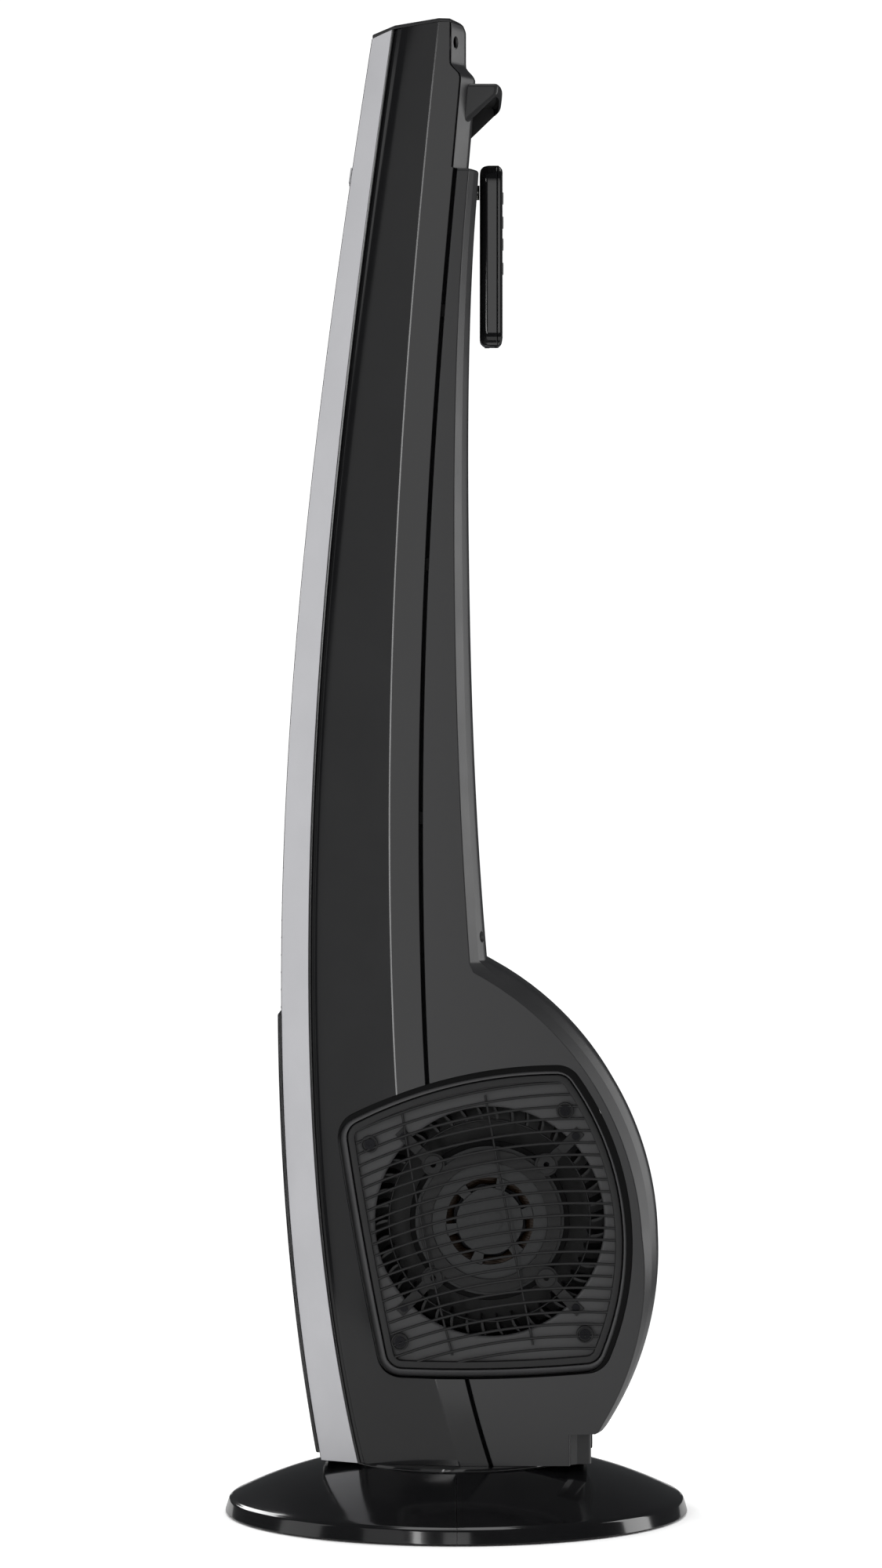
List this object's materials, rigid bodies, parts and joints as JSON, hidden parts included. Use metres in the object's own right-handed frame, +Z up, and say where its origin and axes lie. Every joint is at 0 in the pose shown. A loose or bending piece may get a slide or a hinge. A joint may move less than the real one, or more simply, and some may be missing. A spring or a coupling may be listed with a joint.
{
  "type": "tower fan",
  "caption": "Tall tower fan with a louvred front outlet, a rear blower bulge with side intake grilles, silver edge trims, a docked remote and a round base it swings on.",
  "frame": {"origin": "middle of the round base, on the floor", "axes": "+Z up; the air leaves towards -Y; +X is across the fan, along the blower's axle"},
  "size_m": [0.38, 0.38, 1.219],
  "materials": {
    "gloss_black": "gloss",
    "charcoal": "satin",
    "silver": "satin",
    "rubber": "matte",
    "steel": "satin",
    "motor_can": "satin",
    "copper": "satin",
    "window": "gloss",
    "board": "satin",
    "gear_white": "satin",
    "casting": "satin"
  },
  "bodies": {
    "base": {"base_front_half": "gloss_black", "base_rear_half": "gloss_black", "base_hub": "casting", "base_feet": "rubber", "base_screws": "steel", "thrust_ring": "gear_white", "sun_gear": "gear_white", "spindle_nut": "steel"},
    "blower": {"blower_wheel": "charcoal", "motor_shaft": "steel", "shaft_collar": "steel"},
    "pinion": {"swing_pinion": "gear_white"},
    "remote": {"remote_back_shell": "gloss_black", "remote_front_shell": "gloss_black", "remote_grip_strip": "silver", "remote_board": "board", "remote_keeper": "steel"},
    "battery_tray": {"battery_tray": "charcoal", "coin_cell": "steel"},
    "button_power": {"button_power": "silver"},
    "button_speed": {"button_speed": "silver"},
    "button_swing": {"button_swing": "silver"},
    "button_timer": {"button_timer": "silver"},
    "key_power": {"key_power": "rubber"},
    "key_faster": {"key_faster": "rubber"},
    "key_slower": {"key_slower": "rubber"},
    "key_swing": {"key_swing": "rubber"},
    "tower": {"air_duct": "charcoal", "carry_handle": "charcoal", "control_board": "board", "control_panel": "gloss_black", "cord_gland": "charcoal", "display_window": "window", "dock_magnet": "steel", "front_housing": "gloss_black", "grille_screws": "steel", "housing_screws": "steel", "intake_grille_left": "charcoal", "intake_grille_right": "charcoal", "intake_tray_left": "charcoal", "intake_tray_right": "charcoal", "lower_front_panel": "gloss_black", "motor_bracket": "charcoal", "motor_grommets": "rubber", "motor_housing": "motor_can", "motor_screws": "steel", "motor_stator": "steel", "motor_windings": "copper", "outlet_grille": "charcoal", "rear_housing": "charcoal", "run_capacitor": "charcoal", "scroll_left": "charcoal", "scroll_right": "charcoal", "seam_clips": "charcoal", "signal_lens": "window", "swing_motor": "charcoal", "top_cap": "gloss_black", "trim_left": "silver", "trim_right": "silver", "turntable": "charcoal"}
  },
  "joints": [
    {"name": "tower_swing", "type": "hinge", "parent": "base", "child": "tower", "pos_m": [0, 0, 0.0466], "axis": [0, 0, 1], "range_deg": [-35, 35]},
    {"name": "pinion_spin", "type": "hinge", "parent": "tower", "child": "pinion", "pos_m": [0, -0.0331, 0.0469], "axis": [0, 0, 1], "range_deg": [-95, 95]},
    {"name": "blower_spin", "type": "hinge", "parent": "tower", "child": "blower", "pos_m": [0, 0.027, 0.2437], "axis": [1, 0, 0], "continuous": true},
    {"name": "remote_lift_off", "type": "slide", "parent": "tower", "child": "remote", "axis": [0, 1, 0], "range_m": [0, 0.06]},
    {"name": "battery_tray_slide", "type": "slide", "parent": "remote", "child": "battery_tray", "axis": [0, 0, -1], "range_m": [0, 0.036]},
    {"name": "button_power_press", "type": "slide", "parent": "tower", "child": "button_power", "axis": [0, 0.9892, -0.1469], "range_m": [0, 0.0012], "stiffness_N_per_m": 400},
    {"name": "button_speed_press", "type": "slide", "parent": "tower", "child": "button_speed", "axis": [0, 0.9892, -0.1469], "range_m": [0, 0.0012], "stiffness_N_per_m": 400},
    {"name": "button_swing_press", "type": "slide", "parent": "tower", "child": "button_swing", "axis": [0, 0.9892, -0.1469], "range_m": [0, 0.0012], "stiffness_N_per_m": 400},
    {"name": "button_timer_press", "type": "slide", "parent": "tower", "child": "button_timer", "axis": [0, 0.9892, -0.1469], "range_m": [0, 0.0012], "stiffness_N_per_m": 400},
    {"name": "key_power_press", "type": "slide", "parent": "remote", "child": "key_power", "axis": [0, -1, 0], "range_m": [0, 0.0006], "stiffness_N_per_m": 300},
    {"name": "key_faster_press", "type": "slide", "parent": "remote", "child": "key_faster", "axis": [0, -1, 0], "range_m": [0, 0.0006], "stiffness_N_per_m": 300},
    {"name": "key_slower_press", "type": "slide", "parent": "remote", "child": "key_slower", "axis": [0, -1, 0], "range_m": [0, 0.0006], "stiffness_N_per_m": 300},
    {"name": "key_swing_press", "type": "slide", "parent": "remote", "child": "key_swing", "axis": [0, -1, 0], "range_m": [0, 0.0006], "stiffness_N_per_m": 300}
  ],
  "couplings": [
    {"joint": "pinion_spin", "follows": "tower_swing", "ratio": 2.6667}
  ]
}
